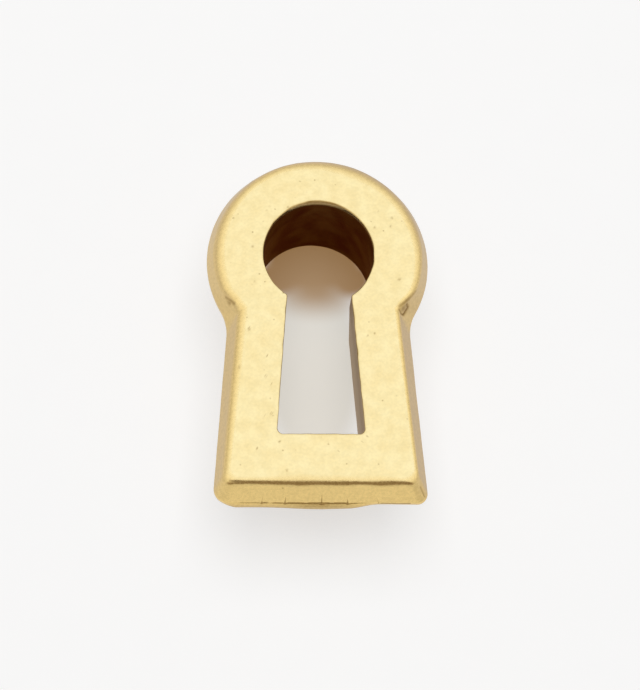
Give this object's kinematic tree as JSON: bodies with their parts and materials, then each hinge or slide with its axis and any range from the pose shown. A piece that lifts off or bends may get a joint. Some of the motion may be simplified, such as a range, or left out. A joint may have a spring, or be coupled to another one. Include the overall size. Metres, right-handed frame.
{
  "type": "keyhole escutcheon",
  "caption": "Cast brass keyhole escutcheon: a bevelled keyhole-shaped plate with a short keyhole sleeve behind it that lines a mortise and guides the key.",
  "frame": {"origin": "on the axis of the key hole, in the plane where the plate's underside meets the wood", "axes": "+Z out of the face along the key, +Y from the foot towards the ring, +X to the right seen from the front"},
  "size_m": [0.013, 0.0212, 0.0068],
  "materials": {
    "cast_brass": "satin, tumbled after casting"
  },
  "bodies": {
    "root": {"escutcheon": "cast_brass"}
  },
  "joints": []
}
